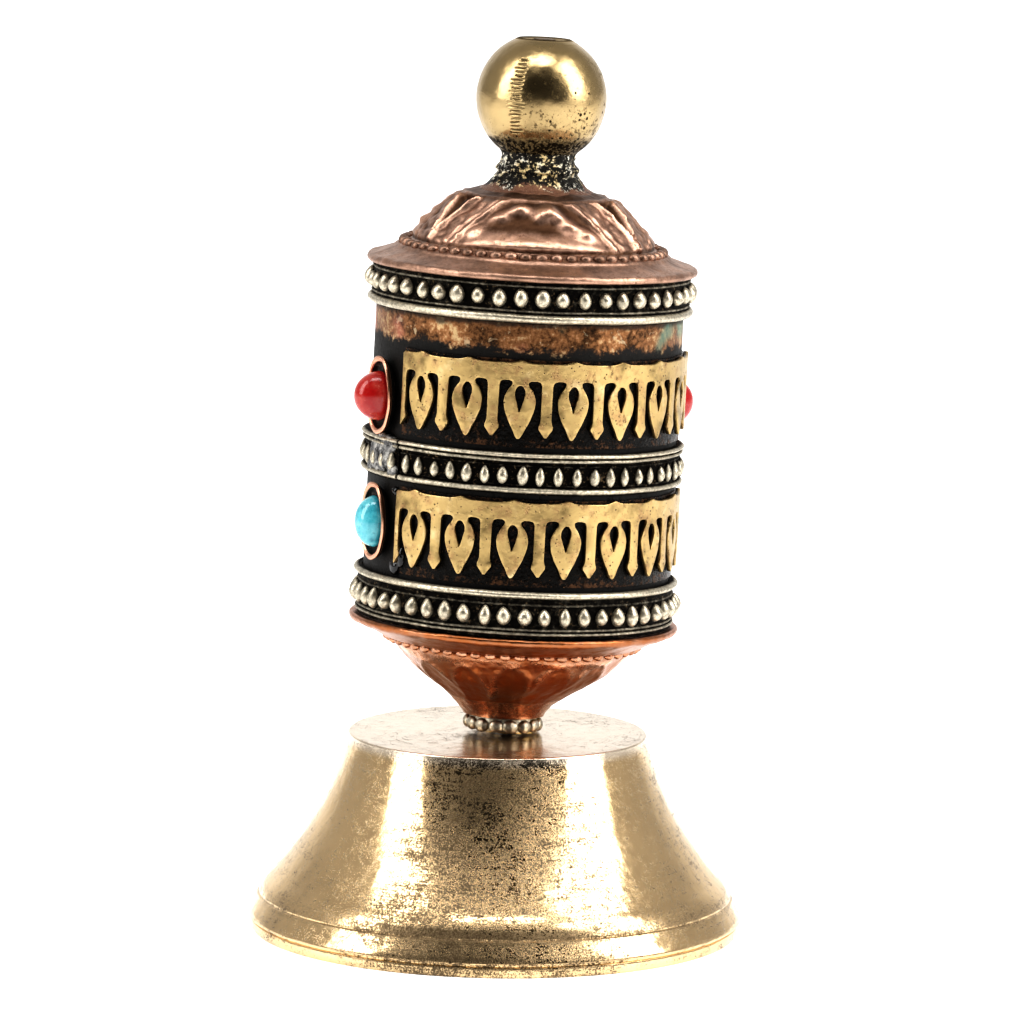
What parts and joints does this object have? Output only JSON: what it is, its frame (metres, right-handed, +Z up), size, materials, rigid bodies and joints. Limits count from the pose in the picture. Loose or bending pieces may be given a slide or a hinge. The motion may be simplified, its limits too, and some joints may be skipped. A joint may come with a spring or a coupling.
{
  "type": "table-top prayer wheel",
  "caption": "Small table-top prayer wheel: a jewelled copper drum with a ball finial turns on a spindle in a flared brass stand, and lifts off it.",
  "frame": {"origin": "centre of the stand's foot, on the surface it stands on", "axes": "+Z up, the front facing -Y; the spindle leans 2.6 degrees from +Z to the right and back"},
  "size_m": [0.052, 0.052, 0.094],
  "materials": {
    "stand_brass": "turned and polished, with fine dark tarnish specks",
    "ball_brass": "polished, nicked and pitted",
    "plain_brass": "turned",
    "frieze_brass": "pressed sheet, worn bright",
    "lid_copper": "copper sheet, chased and polished over dark hollows",
    "collet_copper": "copper strip, polished edge",
    "old_copper": "copper sheet with a mottled brown skin",
    "white_metal": "white metal, beads worn bright over black hollows",
    "black_paint": "black pitch, brown where it is rubbed",
    "dark_casting": "rough dark casting with bright grains",
    "steel": "plain",
    "paper": "rolled, unmarked",
    "coral": "polished red coral",
    "turquoise": "polished blue turquoise"
  },
  "bodies": {
    "stand": {"stand_bell": "stand_brass", "spindle": "steel", "stand_washer": "steel", "spindle_nut": "steel"},
    "carrier": {"thrust_washer": "plain_brass"},
    "drum": {"neck_ring": "white_metal", "lower_lid": "lid_copper", "lower_bush": "plain_brass", "drum_sleeve": "plain_brass", "paper_scroll": "paper", "drum_shell": "old_copper", "lower_band": "white_metal", "middle_band": "white_metal", "upper_band": "white_metal", "lower_backing_front": "black_paint", "lower_frieze_front": "frieze_brass", "lower_collet_left": "collet_copper", "turquoise_left": "turquoise", "lower_backing_back": "black_paint", "lower_frieze_back": "frieze_brass", "lower_collet_right": "collet_copper", "turquoise_right": "turquoise", "upper_backing_front": "black_paint", "upper_frieze_front": "frieze_brass", "upper_collet_left": "collet_copper", "coral_left": "coral", "upper_backing_back": "black_paint", "upper_frieze_back": "frieze_brass", "upper_collet_right": "collet_copper", "coral_right": "coral", "upper_lid": "lid_copper", "upper_bush": "plain_brass", "finial_collar": "dark_casting", "finial_stud": "steel", "finial_ball": "ball_brass"}
  },
  "joints": [
    {"name": "drum_lift", "type": "slide", "parent": "stand", "child": "carrier", "axis": [0.0362, 0.0273, 0.999], "range_m": [0, 0.06]},
    {"name": "drum_spin", "type": "hinge", "parent": "carrier", "child": "drum", "pos_m": [0.001, 0, 0.021], "axis": [0.0362, 0.0273, 0.999], "continuous": true}
  ]
}
